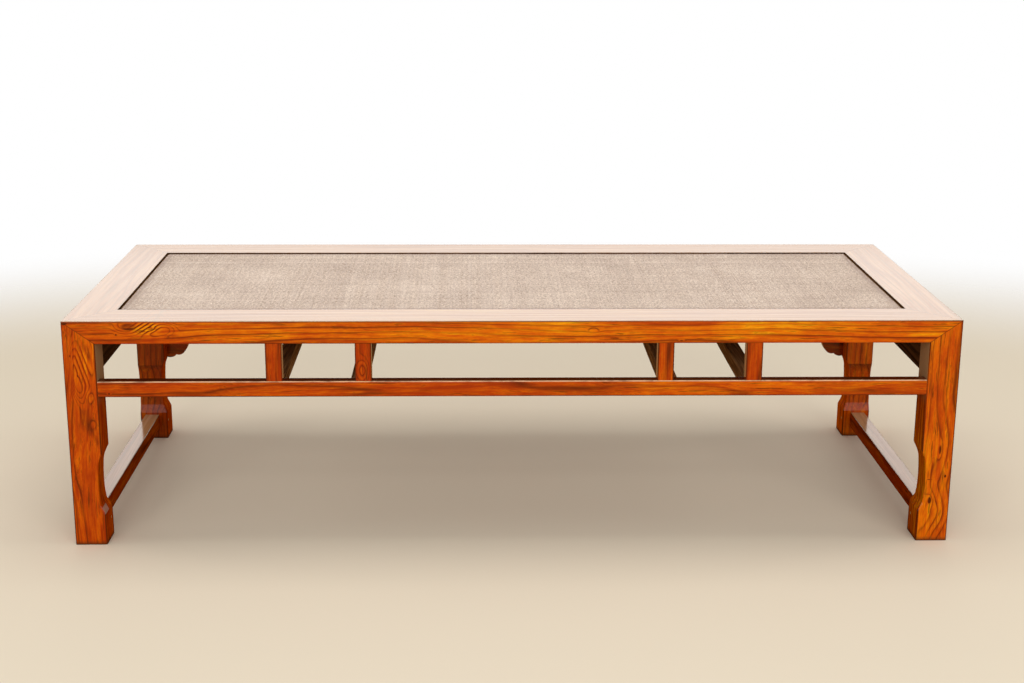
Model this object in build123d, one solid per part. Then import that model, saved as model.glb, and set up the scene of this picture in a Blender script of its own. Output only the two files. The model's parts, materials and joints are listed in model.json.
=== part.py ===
from build123d import *
import os

# Kang table: a low table with a woven mat panel in a mitred top frame, square legs
# with waisted feet, a stretcher hung on short struts along the front and the back,
# boards closing the two ends, and low stretchers between the feet.
# Millimetres. X runs along the table, -Y is the front, +Z is up. The origin is on
# the floor, under the middle of the table.

# ---- Overall sizes ----
length = 1700.0
depth = 706.0
height = 447.0

# ---- Top frame and its panel ----
rail_width = 92.0            # long frame member, seen from above
end_rail_width = 88.0
rail_height = 44.0
mat_drop = 2.0               # the mat lies this far below the top of the frame
mat_thickness = 2.0
mat_gap = 2.0                # open line round the mat
board_thickness = 12.0
board_count = 3
board_gap = 1.0              # room for the boards to swell, round their upper edge
groove_depth = 10.0
groove_lip = 4.0             # wood left between the mat and the groove
tongue_thickness = 6.0
tongue_gap = 2.0             # room for the tongue at the bottom of its groove
seam_tongue_width = 6.0      # tongue and groove from board to board
seam_tongue_thickness = 4.0
batten_count = 3
batten_width = 32.0
batten_height = 22.0
ridge_width = 22.0           # dovetail ridge on a batten, at its foot
ridge_height = 5.0
ridge_flare = 2.0            # the ridge is wider by this on each side at its top
batten_tenon_length = 12.0

# ---- Legs ----
leg_width = 61.0
cusp_height = 186.0          # the straight upper part of a leg ends here
cusp_drop = 28.0             # height of the double curve from the cusp in to the neck
neck_width = 52.0
back_cusp_height = 176.0     # on the face of a back leg that looks to the front
waist_height = 118.0
waist_width = 50.5
shoulder_height = 79.0       # upper edge of the sloping shoulder of a foot
shoulder_width = 53.0
foot_height = 62.0           # lower edge of that shoulder
foot_width = 61.0

# ---- Front and back stretchers, struts and cross bars ----
stretcher_bottom = 298.0
stretcher_height = 31.0
stretcher_depth = 24.0
stretcher_setback = 2.0      # behind the faces of the legs
strut_width = 31.0
strut_depth = 24.0
strut_end_distance = 333.0   # from a leg to the middle of the nearer strut
strut_pitch = 169.0          # between the two struts of a pair
bar_width = 29.0
bar_height = 29.0
bar_rise = 1.0               # its underside, above that of the stretchers
inner_bar_shift = 11.0       # the inner bars stand a little outside their struts

# ---- Ends ----
end_board_thickness = 22.0
end_board_setback = 3.0
end_board_bottom = 298.0
side_stretcher_bottom = 23.0
side_stretcher_height = 34.0
side_stretcher_thickness = 32.0
side_stretcher_setback = 11.0

# ---- Brackets in the corners of the back, which start at the cusps of the legs ----
bracket_reach = 100.0        # along the back stretcher
bracket_thickness = 18.0
bracket_setback = 4.0
bracket_tongue = 7.0         # length of its tongues into leg and stretcher
bracket_tongue_thickness = 6.0
bracket_bead = (12.0, -1.0)  # places along its scrolled edge, from the leg outwards
bracket_first_nick = (22.0, 5.0)
bracket_lobe = (33.0, 5.5)
bracket_second_nick = (41.0, 12.0)
bracket_rise = (46.5, 20.0)
bracket_hollow_start = (50.0, 34.0)
bracket_hollow = (54.0, 53.0)
bracket_tip_height = 12.0    # of its outer end

# ---- Joints ----
tenon_length = 30.0          # stretchers and end boards in the legs
stub_length = 10.0           # struts and cross bars in the rails and stretchers
tenon_thickness = 10.0
tenon_shoulder = 5.0         # wood round a tenon on its two narrow sides
joint_gap = 0.1              # between a tenon and the sides of its mortise
end_gap = 1.0                # between the end of a tenon and its mortise
post_tenon_width = 12.0      # the two tenons on top of a leg
post_tenon_length = 24.0
post_tenon_cover = 10.0      # wood left above them
mitre_tenon_height = 14.0    # end rail into long rail, behind the leg
mitre_tenon_margin = 2.0     # wood left between it and the leg, the groove and the underside
mitre_tenon_cover = 24.0     # long rail left in front of it
peg_diameter = 6.0
peg_cover = 8.0              # wood left between a peg and the outer face of its leg
root = 1.0                   # a tenon starts this far inside its own member

# ---- Softened edges ----
arris = 1.5
stretcher_arris = 2.5
corner_radius = 2.5

# ---- Worked out ----
x_edge = -length / 2
y_edge = -depth / 2
rail_bottom = height - rail_height
board_top = height - mat_drop - mat_thickness
board_bottom = board_top - board_thickness
groove_top = board_top - groove_lip
groove_bottom = groove_top - tongue_thickness
panel_x = length / 2 - end_rail_width
panel_y = depth / 2 - rail_width
tongue_reach = groove_depth - tongue_gap
stretcher_top = stretcher_bottom + stretcher_height
outer_strut_x = x_edge + leg_width + strut_end_distance
inner_strut_x = outer_strut_x + strut_pitch
inner_bar_x = inner_strut_x - inner_bar_shift
stretcher_y = y_edge + stretcher_setback
stretcher_rear = stretcher_y + stretcher_depth
stretcher_middle = stretcher_y + stretcher_depth / 2


def block(x0, x1, y0, y1, z0, z1):
    """A box between two places on each axis."""
    middle = Pos((x0 + x1) / 2, (y0 + y1) / 2, (z0 + z1) / 2)
    return middle * Box(x1 - x0, y1 - y0, z1 - z0)


def grown(x0, x1, y0, y1, z0, z1, x_room=joint_gap, y_room=joint_gap, z_room=joint_gap):
    """The same box, larger all round by the room that a joint leaves."""
    return block(x0 - x_room, x1 + x_room, y0 - y_room, y1 + y_room, z0 - z_room, z1 + z_room)


def softened(solid, axis, radius=arris):
    """Round the edges that run along one axis."""
    return fillet(solid.edges().filter_by(axis), radius)


def at_right(solid):
    return mirror(solid, Plane.YZ)


def at_back(solid):
    return mirror(solid, Plane.XZ)


# ---- Joints at the front left corner, each as the six bounds of its tenon ----
# x and y are counted from the outer faces of the corner.

def from_corner(x0, x1, y0, y1, z0, z1):
    return (x_edge + x0, x_edge + x1, y_edge + y0, y_edge + y1, z0, z1)


# The leg reaches up into both rails with one tenon each, inside the mitre.
post_tenon_start = leg_width / 2
post_tenon_side = leg_width / 6
long_post_tenon = from_corner(
    post_tenon_start, post_tenon_start + post_tenon_length,
    post_tenon_side, post_tenon_side + post_tenon_width,
    rail_bottom, height - post_tenon_cover)
short_post_tenon = from_corner(
    post_tenon_side, post_tenon_side + post_tenon_width,
    post_tenon_start, post_tenon_start + post_tenon_length,
    rail_bottom, height - post_tenon_cover)

# The end rail reaches across the mitre into the long rail, behind the leg.
mitre_tenon = from_corner(
    leg_width + mitre_tenon_margin, end_rail_width - groove_depth - mitre_tenon_margin,
    mitre_tenon_cover, rail_width - groove_depth - mitre_tenon_margin,
    rail_bottom + mitre_tenon_margin, rail_bottom + mitre_tenon_margin + mitre_tenon_height)

# The long stretcher enters the inner face of the leg.
stretcher_tenon_y = stretcher_setback + stretcher_depth / 2 - tenon_thickness / 2
stretcher_tenon = from_corner(
    leg_width - tenon_length, leg_width,
    stretcher_tenon_y, stretcher_tenon_y + tenon_thickness,
    stretcher_bottom + tenon_shoulder, stretcher_top - tenon_shoulder)

# The end board has a short tongue in the leg and a long one under the end rail.
end_board_middle = end_board_setback + end_board_thickness / 2
end_board_tenon = from_corner(
    end_board_middle - tenon_thickness / 2, end_board_middle + tenon_thickness / 2,
    leg_width - stub_length, leg_width,
    end_board_bottom + tenon_shoulder, rail_bottom - tenon_shoulder)
end_board_top_tongue = (
    x_edge + end_board_middle - tenon_thickness / 2, x_edge + end_board_middle + tenon_thickness / 2,
    y_edge + leg_width + tenon_shoulder, -y_edge - leg_width - tenon_shoulder,
    rail_bottom, rail_bottom + stub_length)

# The low side stretcher enters the foot.
side_middle = side_stretcher_setback + side_stretcher_thickness / 2
side_tenon = from_corner(
    side_middle - tenon_thickness / 2, side_middle + tenon_thickness / 2,
    foot_width - tenon_length, foot_width,
    side_stretcher_bottom + tenon_shoulder,
    side_stretcher_bottom + side_stretcher_height - tenon_shoulder)


# ---- Legs ----

def leg_outline(cusp_z):
    """One face of a leg: straight outside, with cusp, waist and foot inside."""
    foot = (foot_width, foot_height)
    shoulder = (shoulder_width, shoulder_height)
    waist = (waist_width, waist_height)
    neck = (neck_width, cusp_z - cusp_drop)
    turn = ((neck_width + leg_width) / 2 - arris, cusp_z - cusp_drop / 2)
    cusp = (leg_width, cusp_z)
    below = TangentArc(waist, shoulder, tangent=(0, -1))
    above = TangentArc(waist, neck, tangent=(0, 1))
    hollow = TangentArc(neck, turn, tangent=above % 1)
    swell = TangentArc(turn, cusp, tangent=hollow % 1)
    straight = [
        Line(cusp, (leg_width, height)),
        Line((leg_width, height), (0, height)),
        Line((0, height), (0, 0)),
        Line((0, 0), (foot_width, 0)),
        Line((foot_width, 0), foot),
        Line(foot, shoulder),
    ]
    return make_face(straight + [below, above, hollow, swell])


def plain_leg(side_cusp):
    """The front left leg: almost the same outline from the front and from the side."""
    across = max(leg_width, foot_width)
    front_shape = extrude(Plane.XZ * leg_outline(cusp_height), amount=-across)
    side_shape = extrude(Plane.YZ * leg_outline(side_cusp), amount=across)
    leg = front_shape & side_shape
    upright = [e for e in leg.edges() if e.bounding_box().size.Z > arris]
    on_front = [e for e in upright if abs((e @ 0.5).Y) < arris / 2 and (e @ 0.5).X > arris]
    on_side = [e for e in upright if abs((e @ 0.5).X) < arris / 2 and (e @ 0.5).Y > arris]
    return Pos(x_edge, y_edge, 0) * chamfer(on_front + on_side, arris)


def mitre_wedge(run_axis_plane, toward):
    """What lies above the sloping mitre of a leg, along one face."""
    slope = rail_height / leg_width
    beyond = leg_width + root
    outline = Polyline(
        (0, height), (beyond, height - slope * beyond), (beyond, height + root),
        (0, height + root), close=True)
    face = run_axis_plane * make_face(outline)
    return Pos(x_edge, y_edge, 0) * extrude(face, amount=toward * beyond)


def corner_envelope(top_radius):
    """The outside of the whole table, with softened upright corners."""
    solid = block(x_edge, -x_edge, y_edge, -y_edge, 0, height)
    solid = softened(solid, Axis.Z, corner_radius)
    if top_radius:
        solid = fillet(solid.faces().sort_by(Axis.Z)[-1].edges(), top_radius)
    return solid


def peg(x, y, z, direction, reach):
    """A round peg from a hidden face of a leg, through a tenon."""
    turn = Rot(-90, 0, 0) if direction == "y" else Rot(0, 90, 0)
    centre = (x, y - reach / 2, z) if direction == "y" else (x - reach / 2, y, z)
    return Pos(*centre) * turn * Cylinder(peg_diameter / 2, reach)


stretcher_peg = peg(
    x_edge + leg_width - tenon_length / 2, y_edge + leg_width,
    stretcher_bottom + stretcher_height / 2, "y", leg_width - peg_cover)
side_peg = peg(
    x_edge + foot_width, y_edge + foot_width - tenon_length / 2,
    side_stretcher_bottom + side_stretcher_height / 2, "x", foot_width - peg_cover)


def corner_leg(side_cusp):
    """Leg with its two top tenons and every mortise cut in it."""
    leg = plain_leg(side_cusp) & corner_envelope(arris)
    leg -= mitre_wedge(Plane.XZ, -1)
    leg -= mitre_wedge(Plane.YZ, 1)
    leg += block(*long_post_tenon)
    leg += block(*short_post_tenon)
    leg -= grown(*stretcher_tenon, x_room=end_gap)
    leg -= grown(*end_board_tenon, y_room=end_gap)
    leg -= grown(*side_tenon, y_room=end_gap)
    leg -= stretcher_peg
    leg -= side_peg
    return leg


# ---- Brackets ----

def bracket_outline():
    """Scrolled bracket, counted from the leg and from its lowest edge."""
    tall = stretcher_bottom - cusp_height
    shoulder = (bracket_reach * 0.64, tall * 0.62)
    swell = (bracket_reach * 0.84, tall * 0.76)
    tip = (bracket_reach, tall - bracket_tip_height)
    edges = [
        Line((0, tall), (0, 0)),
        ThreePointArc((0, 0), bracket_bead, bracket_first_nick),
        ThreePointArc(bracket_first_nick, bracket_lobe, bracket_second_nick),
        ThreePointArc(bracket_second_nick, bracket_rise, bracket_hollow_start),
        ThreePointArc(bracket_hollow_start, bracket_hollow, shoulder),
        ThreePointArc(shoulder, swell, tip),
        Line(tip, (bracket_reach, tall)),
        Line((bracket_reach, tall), (0, tall)),
    ]
    return make_face(edges)


bracket_y = -y_edge - bracket_setback - bracket_thickness
bracket_tongue_y = bracket_y + (bracket_thickness - bracket_tongue_thickness) / 2
# Tongue in the leg, and tongue in the underside of the back stretcher.
bracket_side_tongue = (
    x_edge + leg_width - bracket_tongue, x_edge + leg_width + root,
    bracket_tongue_y, bracket_tongue_y + bracket_tongue_thickness,
    cusp_height + 2 * tenon_shoulder, stretcher_bottom - tenon_shoulder)
bracket_top_tongue = (
    x_edge + leg_width + tenon_shoulder, x_edge + leg_width + bracket_reach - tenon_shoulder,
    bracket_tongue_y, bracket_tongue_y + bracket_tongue_thickness,
    stretcher_bottom - root, stretcher_bottom + bracket_tongue)


def back_bracket():
    plate = extrude(Plane.XZ * bracket_outline(), amount=-bracket_thickness)
    plate = Pos(x_edge + leg_width, bracket_y, cusp_height) * plate
    plate += block(*bracket_side_tongue)
    plate += block(*bracket_top_tongue)
    return plate


def back_leg():
    leg = at_back(corner_leg(back_cusp_height))
    return leg - grown(*bracket_side_tongue)


# ---- Front and back stretchers with their struts ----

def strut_tenon(x, z0, z1):
    half = strut_width / 2 - tenon_shoulder
    side = stretcher_middle - tenon_thickness / 2
    return (x - half, x + half, side, side + tenon_thickness, z0, z1)


def strut(x):
    body = block(
        x - strut_width / 2, x + strut_width / 2,
        stretcher_middle - strut_depth / 2, stretcher_middle + strut_depth / 2,
        stretcher_top, rail_bottom)
    body = softened(body, Axis.Z)
    body += block(*strut_tenon(x, stretcher_top - stub_length, stretcher_top + root))
    body += block(*strut_tenon(x, rail_bottom - root, rail_bottom + stub_length))
    return body


def bar_tenon(x):
    """Front end of a cross bar, below the tenon of the strut that stands over it."""
    half = bar_width / 2 - tenon_shoulder
    return (
        x - half, x + half, stretcher_rear - stub_length, stretcher_rear,
        stretcher_bottom + tenon_shoulder, stretcher_top - stub_length - tenon_shoulder)


strut_places = [outer_strut_x, inner_strut_x, -inner_strut_x, -outer_strut_x]
bar_places = [outer_strut_x, inner_bar_x, -inner_bar_x, -outer_strut_x]


def front_stretcher():
    body = block(
        x_edge + leg_width, -x_edge - leg_width, stretcher_y, stretcher_rear,
        stretcher_bottom, stretcher_top)
    body = softened(body, Axis.X, stretcher_arris)
    tenon = block(*stretcher_tenon)
    body += tenon
    body += at_right(tenon)
    # The rounding stops at each strut, which stands on the full square edge.
    for x in strut_places:
        body += block(
            x - strut_width / 2, x + strut_width / 2, stretcher_y, stretcher_rear,
            stretcher_top - stretcher_arris, stretcher_top)
    for x in strut_places:
        body -= grown(*strut_tenon(x, stretcher_top - stub_length, stretcher_top), z_room=end_gap)
    for x in bar_places:
        body -= grown(*bar_tenon(x), y_room=end_gap)
    pegs = stretcher_peg + at_right(stretcher_peg)
    return body - pegs


def cross_bar(x):
    body = block(
        x - bar_width / 2, x + bar_width / 2, stretcher_rear, -stretcher_rear,
        stretcher_bottom + bar_rise, stretcher_bottom + bar_rise + bar_height)
    body = softened(body, Axis.Y)
    tenon = block(*bar_tenon(x))
    return body + tenon + at_back(tenon)


# ---- Top frame ----

def panel_groove():
    """The groove in the inner edges of all four rails, as one flat block."""
    return block(
        -panel_x - groove_depth, panel_x + groove_depth,
        -panel_y - groove_depth, panel_y + groove_depth,
        groove_bottom, groove_top + joint_gap)


def rail_blank(plan, section, along):
    """A member of the frame: its softened section, cut to the mitres in plan."""
    blank = extrude(section, amount=along)
    plan_block = extrude(Pos(0, 0, rail_bottom) * make_face(plan), amount=rail_height)
    return blank & plan_block & corner_envelope(0)


def under_mitre(plane, toward):
    """The part of a rail's end that the top of the leg takes."""
    outline = Polyline(
        (0, height), (leg_width, rail_bottom), (leg_width, rail_bottom - root),
        (-root, rail_bottom - root), (-root, height), close=True)
    face = plane * make_face(outline)
    return Pos(x_edge, y_edge, 0) * extrude(face, amount=toward * rail_width)


def front_rail():
    plan = Polyline(
        (x_edge, y_edge), (-x_edge, y_edge), (panel_x, -panel_y), (-panel_x, -panel_y), close=True)
    section = RectangleRounded(rail_width, rail_height, arris)
    section = Pos(x_edge, y_edge + rail_width / 2, height - rail_height / 2) * (Plane.YZ * section)
    rail = rail_blank(plan, section, length)
    end_cut = under_mitre(Plane.XZ, -1)
    end_cut += grown(*long_post_tenon)
    end_cut += grown(*mitre_tenon, y_room=end_gap)
    rail -= end_cut
    rail -= at_right(end_cut)
    rail -= panel_groove()
    for x in strut_places:
        rail -= grown(*strut_tenon(x, rail_bottom, rail_bottom + stub_length), z_room=end_gap)
    for x in batten_places:
        rail -= grown(*batten_tenon(x), y_room=end_gap)
    return rail


def left_end_rail():
    plan = Polyline(
        (x_edge, y_edge), (-panel_x, -panel_y), (-panel_x, panel_y), (x_edge, -y_edge), close=True)
    section = RectangleRounded(end_rail_width, rail_height, arris)
    section = Plane.XZ * section
    section = Pos(x_edge + end_rail_width / 2, y_edge, height - rail_height / 2) * section
    rail = rail_blank(plan, section, -depth)
    end_cut = under_mitre(Plane.YZ, 1)
    end_cut += grown(*short_post_tenon)
    rail -= end_cut
    rail -= at_back(end_cut)
    rail -= panel_groove()
    rail -= grown(*end_board_top_tongue, z_room=end_gap)
    tenon = block(*mitre_tenon)
    return rail + tenon + at_back(tenon)


# ---- Boards, battens and mat inside the frame ----

batten_top = board_bottom
batten_bottom = batten_top - batten_height
batten_pitch = 2 * panel_x / batten_count
batten_places = [(i - (batten_count - 1) / 2) * batten_pitch for i in range(batten_count)]
board_width = 2 * panel_y / board_count


def batten_tenon(x):
    """Front end of a batten, in the inner face of the long rail."""
    half = batten_width / 2 - tenon_shoulder
    return (
        x - half, x + half, -panel_y - batten_tenon_length, -panel_y,
        batten_bottom + tenon_shoulder, batten_top - tenon_shoulder)


def batten_ridge(x, reach, room=0.0):
    """Dovetail ridge on top of a batten, which the boards slide over."""
    foot = ridge_width / 2 + room
    head = foot + ridge_flare
    top = batten_top + ridge_height + room
    low = batten_top - root
    outline = Polyline(
        (x - foot, low), (x + foot, low), (x + foot, batten_top), (x + head, top),
        (x - head, top), (x - foot, batten_top), close=True)
    return Pos(0, -reach, 0) * extrude(Plane.XZ * make_face(outline), amount=-2 * reach)


def batten(x):
    body = block(
        x - batten_width / 2, x + batten_width / 2, -panel_y, panel_y, batten_bottom, batten_top)
    tenon = block(*batten_tenon(x))
    body += batten_ridge(x, panel_y - 2 * board_gap)
    return body + tenon + at_back(tenon)


def board(index):
    """One backing board, tongued into the rails and into its neighbour."""
    y0 = -panel_y + index * board_width
    y1 = y0 + board_width
    first = index == 0
    last = index == board_count - 1
    upper_y0 = y0 + board_gap if first else y0
    upper_y1 = y1 - board_gap if last else y1
    tongue_y0 = y0 - tongue_reach if first else y0
    tongue_y1 = y1 + tongue_reach if last else y1
    body = block(
        -panel_x + board_gap, panel_x - board_gap, upper_y0, upper_y1, board_bottom, board_top)
    body += block(
        -panel_x - tongue_reach, panel_x + tongue_reach, tongue_y0, tongue_y1,
        groove_bottom, groove_top)
    seam_z = (groove_bottom + groove_top) / 2
    seam = (
        -panel_x - tongue_reach, panel_x + tongue_reach, y1, y1 + seam_tongue_width,
        seam_z - seam_tongue_thickness / 2, seam_z + seam_tongue_thickness / 2)
    if not last:
        body += block(*seam)
    if not first:
        body -= Pos(0, -board_width, 0) * grown(*seam, x_room=end_gap, y_room=end_gap)
    for x in batten_places:
        body -= batten_ridge(x, depth, joint_gap)
    return body


def mat():
    return block(
        -panel_x + mat_gap, panel_x - mat_gap, -panel_y + mat_gap, panel_y - mat_gap,
        board_top, board_top + mat_thickness)


# ---- Ends ----

def left_end_board():
    x0 = x_edge + end_board_setback
    body = block(
        x0, x0 + end_board_thickness, y_edge + leg_width, -y_edge - leg_width,
        end_board_bottom, rail_bottom)
    lower = body.edges().filter_by(Axis.Y).group_by(Axis.Z)[0]
    body = fillet(lower, arris)
    tenon = block(*end_board_tenon)
    return body + tenon + at_back(tenon) + block(*end_board_top_tongue)


def left_side_stretcher():
    x0 = x_edge + side_stretcher_setback
    body = block(
        x0, x0 + side_stretcher_thickness, y_edge + foot_width, -y_edge - foot_width,
        side_stretcher_bottom, side_stretcher_bottom + side_stretcher_height)
    body = softened(body, Axis.Y)
    tenon = block(*side_tenon)
    return body + tenon + at_back(tenon) - side_peg - at_back(side_peg)


# ---- Every piece by its name ----

parts = {}
parts["front_rail"] = front_rail()
parts["back_rail"] = at_back(parts["front_rail"])
parts["left_end_rail"] = left_end_rail()
parts["right_end_rail"] = at_right(parts["left_end_rail"])
parts["front_left_leg"] = corner_leg(cusp_height)
parts["front_right_leg"] = at_right(parts["front_left_leg"])
parts["back_left_leg"] = back_leg()
parts["back_right_leg"] = at_right(parts["back_left_leg"])
parts["front_stretcher"] = front_stretcher()
bracket_grooves = grown(*bracket_top_tongue) + at_right(grown(*bracket_top_tongue))
parts["back_stretcher"] = at_back(parts["front_stretcher"]) - bracket_grooves
for number, x in enumerate(strut_places, 1):
    parts[f"front_strut_{number}"] = strut(x)
    parts[f"back_strut_{number}"] = at_back(strut(x))
for number, x in enumerate(bar_places, 1):
    parts[f"cross_bar_{number}"] = cross_bar(x)
parts["left_end_board"] = left_end_board()
parts["right_end_board"] = at_right(parts["left_end_board"])
parts["left_side_stretcher"] = left_side_stretcher()
parts["right_side_stretcher"] = at_right(parts["left_side_stretcher"])
parts["back_left_bracket"] = back_bracket()
parts["back_right_bracket"] = at_right(parts["back_left_bracket"])
for index in range(board_count):
    parts[f"top_board_{index + 1}"] = board(index)
for number, x in enumerate(batten_places, 1):
    parts[f"batten_{number}"] = batten(x)
parts["mat"] = mat()
left_pegs = [stretcher_peg, at_back(stretcher_peg), side_peg, at_back(side_peg)]
parts["joint_pegs"] = Compound(children=left_pegs + [at_right(p) for p in left_pegs])

os.makedirs("parts", exist_ok=True)
for name, part in parts.items():
    export_step(part, f"parts/{name}.step")
    print(name, round(sum(solid.volume for solid in part.solids()) / 1000.0, 1), "cm3")
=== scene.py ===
# %% [markdown]
# # A low lacquered table with a woven mat top
#
# This is a kang table: a long, low table of orange-brown lacquered elm. A mitred frame holds a
# mat of split rattan, and square legs with waisted feet carry it. The joinery is already built as
# CAD solids. This lesson gives every piece its real finish and weaves the mat strip by strip.

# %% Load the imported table
import json
from collections import namedtuple
from math import cos, pi, radians, sin

import bpy
from mathutils import Matrix, Vector


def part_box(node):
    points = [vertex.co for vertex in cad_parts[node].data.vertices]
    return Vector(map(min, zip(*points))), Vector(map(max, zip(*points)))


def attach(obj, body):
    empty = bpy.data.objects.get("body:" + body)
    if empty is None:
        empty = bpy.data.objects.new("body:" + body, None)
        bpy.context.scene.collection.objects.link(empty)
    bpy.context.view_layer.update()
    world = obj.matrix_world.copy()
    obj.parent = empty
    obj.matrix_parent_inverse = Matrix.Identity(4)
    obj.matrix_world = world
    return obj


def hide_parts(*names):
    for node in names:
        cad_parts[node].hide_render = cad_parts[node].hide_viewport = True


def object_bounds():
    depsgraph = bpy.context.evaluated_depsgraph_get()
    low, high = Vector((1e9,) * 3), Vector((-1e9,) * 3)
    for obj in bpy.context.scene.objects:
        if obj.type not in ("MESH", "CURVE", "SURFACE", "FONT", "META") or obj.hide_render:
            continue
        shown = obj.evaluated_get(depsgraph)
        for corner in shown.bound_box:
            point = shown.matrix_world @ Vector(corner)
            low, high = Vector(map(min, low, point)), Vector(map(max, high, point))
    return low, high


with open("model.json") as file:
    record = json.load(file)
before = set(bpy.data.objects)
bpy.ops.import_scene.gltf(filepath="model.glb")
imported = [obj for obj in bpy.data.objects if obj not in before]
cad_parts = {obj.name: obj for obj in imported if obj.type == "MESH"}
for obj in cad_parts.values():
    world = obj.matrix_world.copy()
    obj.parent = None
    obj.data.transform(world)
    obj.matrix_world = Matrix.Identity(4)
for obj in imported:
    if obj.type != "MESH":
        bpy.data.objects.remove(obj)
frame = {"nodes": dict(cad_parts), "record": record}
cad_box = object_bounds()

nodes = frame["nodes"]
slot_of = {s["node"]: s["material_slot"] for s in frame["record"]["subparts"]}
table_length, table_depth, table_height = (cad_box[1][i] - cad_box[0][i] for i in range(3))
print("CAD nodes:", len(nodes))
print("size in metres:", round(table_length, 3), round(table_depth, 3), round(table_height, 3))

# %% [markdown]
# ## Helpers
#
# A material is a tree of nodes. One small function adds any node, sets it up and links it.
# Colours are picked as sRGB hex values, as a paint chart gives them, but Blender mixes light in
# linear values, so one function converts them.

# %% Helpers: names for the kinds of node that come most often
MATH = "ShaderNodeMath"
VECTOR_MATH = "ShaderNodeVectorMath"
MAP_RANGE = "ShaderNodeMapRange"
MIX = "ShaderNodeMix"
SPLIT = "ShaderNodeSeparateXYZ"
SOFT = {"interpolation_type": "SMOOTHSTEP"}     # a Map Range with this starts and ends gently
print("a node for numbers is a", MATH)

# %% Helpers: colours


def linear(code):
    """An sRGB hex colour as the linear RGBA that Blender's sockets take."""
    parts = [int(code[i:i + 2], 16) / 255 for i in (1, 3, 5)]
    curve = [c / 12.92 if c <= 0.04045 else ((c + 0.055) / 1.055) ** 2.4 for c in parts]
    return (*curve, 1.0)


def grey(value):
    """One value for red, green and blue, in a colour ramp that is read as a number."""
    return (value, value, value, 1.0)


print("orange in linear values:", [round(v, 3) for v in linear("#C4630A")])

# %% Helpers: nodes and materials


def add(tree, kind, inputs=None, stops=None, **settings):
    """Add a node with its settings, its inputs and the (place, colour) stops of a colour ramp.

    An input is a value, a socket, or a node, which stands for the first output that it has in use.
    """
    node = tree.nodes.new(kind)
    for name, value in settings.items():
        setattr(node, name, value)
    for key, value in (inputs or {}).items():
        if isinstance(value, bpy.types.Node):
            value = next(output for output in value.outputs if output.enabled)
        if isinstance(value, bpy.types.NodeSocket):
            tree.links.new(value, node.inputs[key])
        else:
            node.inputs[key].default_value = value
    if stops:
        elements = node.color_ramp.elements
        elements[0].position, elements[0].color = stops[0]
        elements[1].position, elements[1].color = stops[-1]
        for position, colour in stops[1:-1]:
            elements.new(position).color = colour
    return node


def new_material(name):
    """An empty material and its node tree."""
    material = bpy.data.materials.new(name)
    material.use_nodes = True
    material.node_tree.nodes.clear()
    return material, material.node_tree


print("materials so far:", len(bpy.data.materials))

# %% [markdown]
# ## The camera
#
# A long table is best seen from the front, a little above its top, so that mat, front and legs
# all show. The camera stands 3.3 m in front of the middle, 1.2 m up. Its three angles are turned
# into the columns of one rotation matrix, which avoids guessing at an Euler order.

# %% Camera
eye = Vector((-0.0823, -3.2607, 1.1986))
pitch_down = radians(15.226)
turn_right = radians(1.506)
roll = radians(0.288)
focal_pixels = 1598.0
picture_width = 1024

level = Vector((cos(turn_right), -sin(turn_right), 0.0))
ahead = Vector((sin(turn_right), cos(turn_right), 0.0))
forward = ahead * cos(pitch_down) - Vector((0, 0, 1)) * sin(pitch_down)
upright = level.cross(forward)
across = level * cos(roll) + upright * sin(roll)
above = upright * cos(roll) - level * sin(roll)

camera_data = bpy.data.cameras.new("camera")
camera_data.sensor_width = 36.0
camera_data.lens = focal_pixels / picture_width * camera_data.sensor_width
camera = bpy.data.objects.new("camera", camera_data)
turn = Matrix((across, above, -forward)).transposed().to_4x4()
camera.matrix_world = Matrix.Translation(eye) @ turn
scene = bpy.context.scene
scene.collection.objects.link(camera)
scene.camera = camera
print("lens in mm:", round(camera_data.lens, 2))

# %% [markdown]
# ## The studio
#
# Lacquer needs something pale to reflect, so the table stands in a white room. To the eye the
# floor is pale sand and fades out into the white, so that no horizon shows. Mirrored in the
# lacquer, a floor that pale would make the wood look milky, so every ray but the eye's own meets a
# floor the colour of a straw rug, which doesn't fade. From below, the eye looks through it.

# %% Floor: its sheet
scene.view_settings.view_transform = "Standard"

floor_half = 6.0
corners = [(-1, -1), (1, -1), (1, 1), (-1, 1)]
floor_mesh = bpy.data.meshes.new("floor")
floor_mesh.from_pydata([(x * floor_half, y * floor_half, 0) for x, y in corners], [], [(0, 1, 2, 3)])
floor = bpy.data.objects.new("floor", floor_mesh)
scene.collection.objects.link(floor)
print("floor in metres:", 2 * floor_half)

# %% Floor: its paint
fade_start = 1.3      # the floor begins to fade this far from the middle, in metres
fade_end = 2.6
fade_shape = (0.7, 1.0, 0.0)      # the fade reaches farther along the table than in front of it

floor_paint, tree = new_material("matt_sand_floor")
place = add(tree, "ShaderNodeTexCoord").outputs["Object"]
distance = add(tree, VECTOR_MATH, {0: place, 1: fade_shape}, operation="MULTIPLY")
distance = add(tree, VECTOR_MATH, {0: distance}, operation="LENGTH")
fade = add(tree, MAP_RANGE, {0: distance, 1: fade_start, 2: fade_end}, **SOFT)
eye_ray = add(tree, "ShaderNodeLightPath").outputs["Is Camera Ray"]
below = add(tree, "ShaderNodeNewGeometry").outputs["Backfacing"]
fade = add(tree, MATH, {0: fade, 1: below}, operation="MAXIMUM")
fade = add(tree, MATH, {0: fade, 1: eye_ray}, operation="MULTIPLY")
tint = add(tree, MIX, {0: eye_ray, 6: linear("#B89660"), 7: linear("#EEE0C8")}, data_type="RGBA")
matt = add(tree, "ShaderNodeBsdfDiffuse", {"Color": tint})
gone = add(tree, "ShaderNodeBsdfTransparent")
shown = add(tree, "ShaderNodeMixShader", {0: fade, 1: matt, 2: gone})
add(tree, "ShaderNodeOutputMaterial", {"Surface": shown})
floor_mesh.materials.append(floor_paint)
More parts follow.
